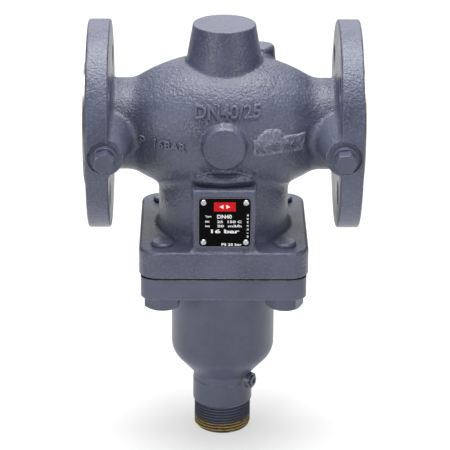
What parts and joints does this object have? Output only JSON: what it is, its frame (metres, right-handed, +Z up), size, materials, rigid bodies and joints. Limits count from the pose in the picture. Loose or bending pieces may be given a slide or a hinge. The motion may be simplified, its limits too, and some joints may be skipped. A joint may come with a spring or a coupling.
{
  "type": "pressure reducing valve",
  "caption": "Flanged globe valve body for a self-acting pressure reducing valve, with a balanced plug on a sliding stem and a threaded nipple for an actuator below.",
  "frame": {"origin": "where the pipe axis meets the stem axis, halfway between the flange faces", "axes": "+X along the pipe from inlet to outlet, +Z up along the stem with the bonnet below, -Y towards the name plate"},
  "size_m": [0.2, 0.1615, 0.315],
  "materials": {
    "cast_paint": "blue-grey enamel over a sand-cast iron skin",
    "machined_paint": "satin blue-grey enamel over turned and milled steel",
    "fastener_paint": "blue-grey enamel over hexagon fasteners",
    "gasket_graphite": "black graphite-faced gasket sheet",
    "yellow_chromate": "yellow-chromated zinc on steel, grey paint on its upper turns",
    "plate_black": "black printed aluminium plate",
    "rivet_aluminium": "bright aluminium",
    "stainless": "turned stainless steel",
    "bellows_stainless": "formed stainless steel sheet",
    "bronze": "turned bronze",
    "spring_steel": "drawn stainless spring wire",
    "seal_rubber": "black moulded rubber",
    "seal_plastic": "white turned plastic"
  },
  "bodies": {
    "valve": {"valve_body": "cast_paint", "bonnet": "machined_paint", "bonnet_gasket": "gasket_graphite", "bonnet_bolts": "fastener_paint", "actuator_nipple": "yellow_chromate", "nipple_lock_screw": "fastener_paint", "inlet_tapping_plug": "fastener_paint", "outlet_tapping_plug": "fastener_paint", "inlet_plug_washer": "fastener_paint", "outlet_plug_washer": "fastener_paint", "name_plate": "plate_black", "name_plate_rivets": "rivet_aluminium", "seat_ring": "stainless", "seat_ring_gasket": "gasket_graphite", "upper_guide_bush": "bronze", "stem_guide_bush": "bronze", "stem_o_rings": "seal_rubber", "seal_spacer": "seal_plastic", "gland_nut": "bronze", "bellows": "bellows_stainless", "bellows_base": "stainless", "bellows_base_gasket": "gasket_graphite", "bellows_retaining_ring": "spring_steel", "closing_spring": "spring_steel"},
    "stem_assembly": {"valve_plug": "stainless", "valve_stem": "stainless", "plug_washer": "stainless", "plug_nut": "stainless", "bellows_head": "stainless", "stem_coupling": "stainless", "stem_lock_nut": "stainless"}
  },
  "joints": [
    {"name": "stem_travel", "type": "slide", "parent": "valve", "child": "stem_assembly", "axis": [0, 0, -1], "range_m": [0, 0.008], "stiffness_N_per_m": 4000, "springref_m": -0.004, "deforming": ["bellows", "closing_spring"]}
  ]
}
